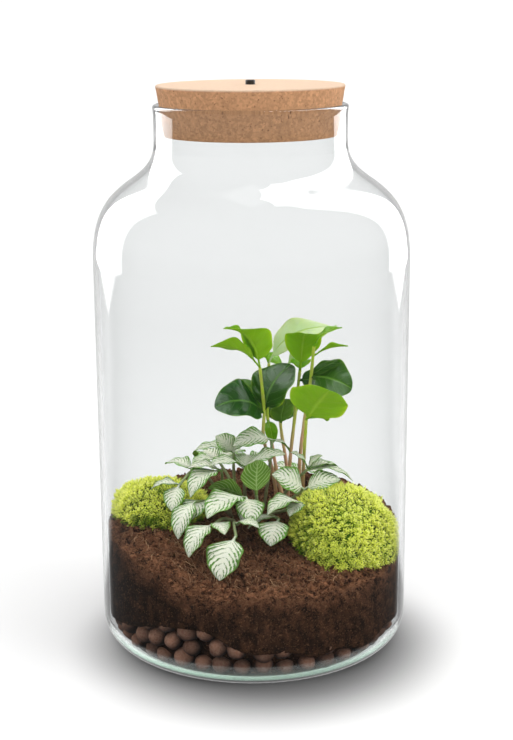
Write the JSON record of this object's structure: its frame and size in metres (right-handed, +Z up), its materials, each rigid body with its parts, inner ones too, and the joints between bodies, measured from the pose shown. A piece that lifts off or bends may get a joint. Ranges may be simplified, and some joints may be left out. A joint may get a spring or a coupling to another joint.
{
  "type": "closed glass jar terrarium",
  "caption": "Round clear glass jar with a wide cork stopper, planted with coffee seedlings, white nerve plant and moss cushions in soil over clay pebbles.",
  "frame": {"origin": "centre of the jar's flat foot, on the surface it stands on", "axes": "+Z up the jar's axis to the stopper, -Y towards the front with the lower soil, +X to the right with the taller moss"},
  "size_m": [0.1726, 0.1726, 0.3122],
  "materials": {
    "glass": "clear, polished",
    "cork": "matt ground cork with dark specks",
    "black_plastic": "satin black",
    "clay": "rough fired clay",
    "soil": "damp, crumbly, with fibres",
    "moss": "soft, dense shoots",
    "coffee_leaf": "glossy on top, satin beneath",
    "nerve_leaf": "matt, white net of veins on green"
  },
  "bodies": {
    "root": {"jar": "glass", "stopper": "cork", "stopper_stud": "black_plastic", "pebbles": "clay", "soil": "soil", "moss_left": "moss", "moss_right": "moss", "moss_tuft": "moss", "coffee_plant_1": "coffee_leaf", "coffee_plant_2": "coffee_leaf", "coffee_plant_3": "coffee_leaf", "coffee_plant_4": "coffee_leaf", "coffee_plant_5": "coffee_leaf", "coffee_plant_6": "coffee_leaf", "nerve_plant_stem_1": "nerve_leaf", "nerve_plant_stem_2": "nerve_leaf", "nerve_plant_stem_3": "nerve_leaf", "nerve_plant_stem_4": "nerve_leaf", "nerve_plant_stem_5": "nerve_leaf", "nerve_plant_stem_6": "nerve_leaf", "nerve_plant_stem_7": "nerve_leaf", "nerve_plant_stem_8": "nerve_leaf", "nerve_plant_stem_9": "nerve_leaf", "nerve_plant_stem_10": "nerve_leaf", "nerve_plant_stem_11": "nerve_leaf", "nerve_plant_stem_12": "nerve_leaf", "nerve_plant_stem_13": "nerve_leaf", "nerve_plant_stem_14": "nerve_leaf", "nerve_plant_stem_15": "nerve_leaf", "nerve_plant_stem_16": "nerve_leaf", "nerve_plant_stem_17": "nerve_leaf"}
  },
  "joints": []
}
